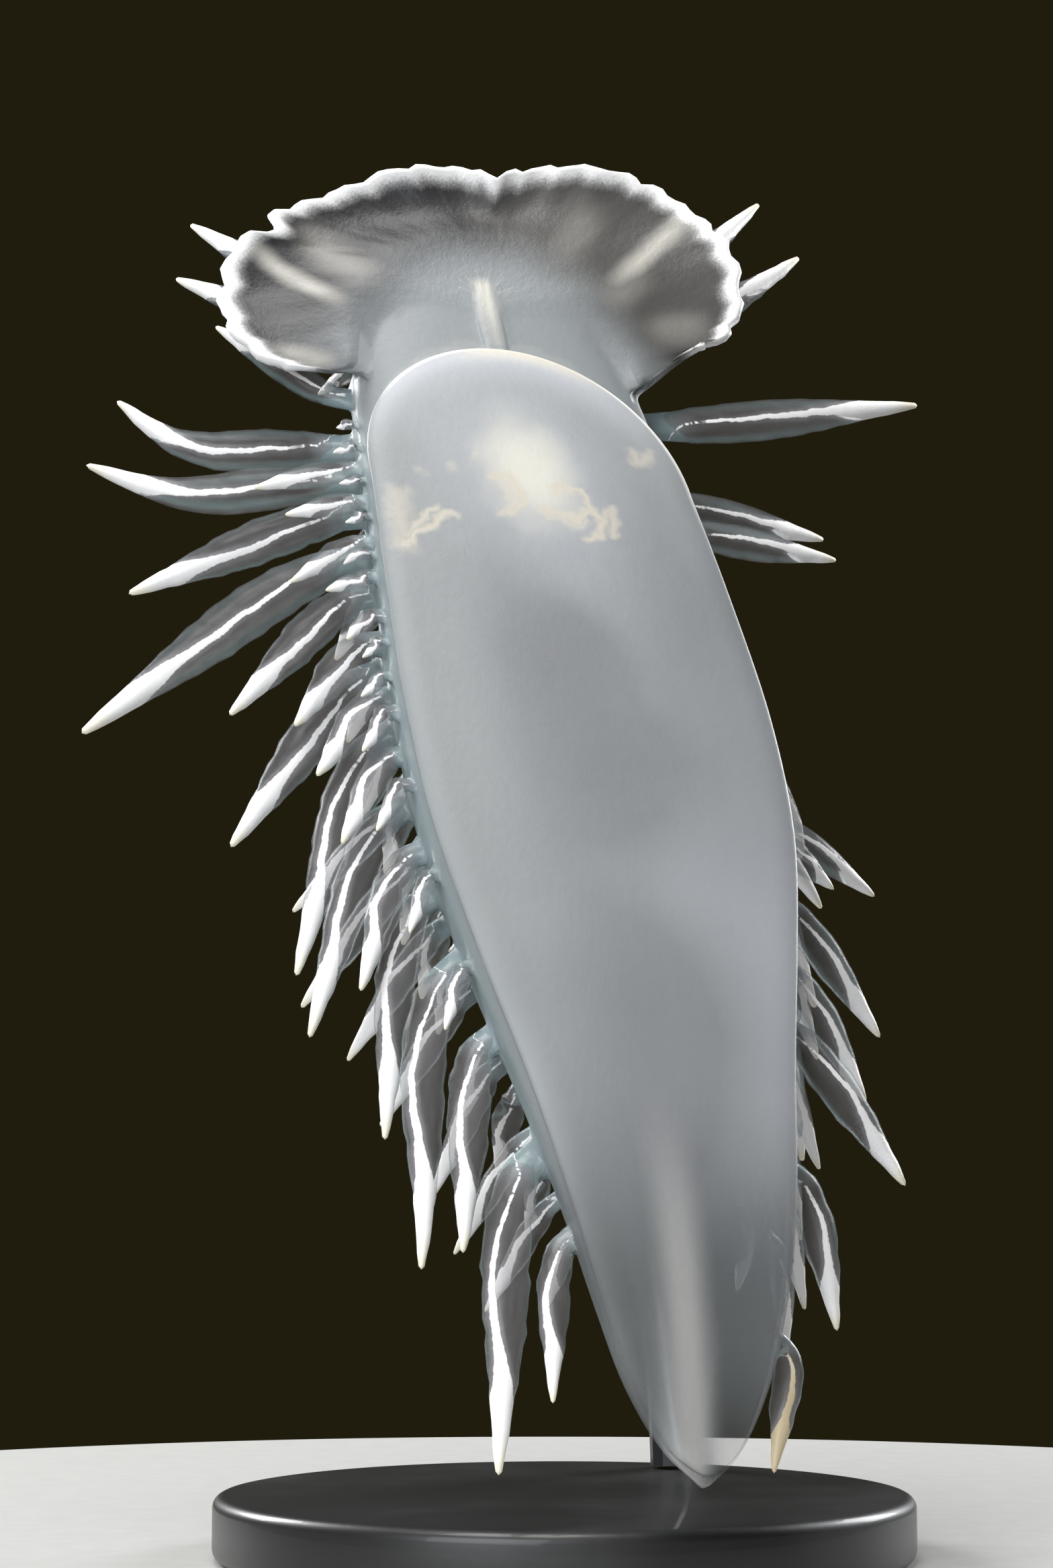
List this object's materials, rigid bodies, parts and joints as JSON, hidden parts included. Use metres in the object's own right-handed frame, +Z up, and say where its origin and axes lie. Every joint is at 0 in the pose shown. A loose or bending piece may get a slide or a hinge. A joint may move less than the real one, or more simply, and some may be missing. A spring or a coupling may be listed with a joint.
{
  "type": "white-lined dirona sea slug display model",
  "caption": "Life-size still model of a translucent, white-edged sea slug with long pointed cerata, held sole forward over a round stand by a rod at its back",
  "frame": {"origin": "centre of the stand base's underside, on the surface that the part stands on", "axes": "+Z up; the slug's sole and the viewer are on the -Y side, its back and the rod on the +Y side; its left is towards +X"},
  "size_m": [0.0721, 0.0675, 0.1191],
  "materials": {
    "flesh": "wet, translucent pale blue-grey flesh with opaque white lines and tips on the cerata",
    "veil": "thin translucent sheet with an opaque white, beaded rim",
    "rhinophore": "translucent stalk and stacked pale leaves",
    "stand": "fine matte black paint on turned steel",
    "stand_pad": "soft dark grey pad"
  },
  "bodies": {
    "root": {"head": "flesh", "foot_front": "flesh", "foot_middle": "flesh", "foot_rear": "flesh", "back_front": "flesh", "back_middle": "flesh", "back_rear": "flesh", "flank_left_front": "flesh", "flank_left_middle": "flesh", "flank_left_rear": "flesh", "flank_right_front": "flesh", "flank_right_middle": "flesh", "flank_right_rear": "flesh", "tail": "flesh", "oral_veil_left": "veil", "oral_veil_right": "veil", "rhinophore_left": "rhinophore", "rhinophore_right": "rhinophore", "stand_base": "stand", "stand_rod": "stand", "stand_pad": "stand_pad"}
  },
  "joints": []
}
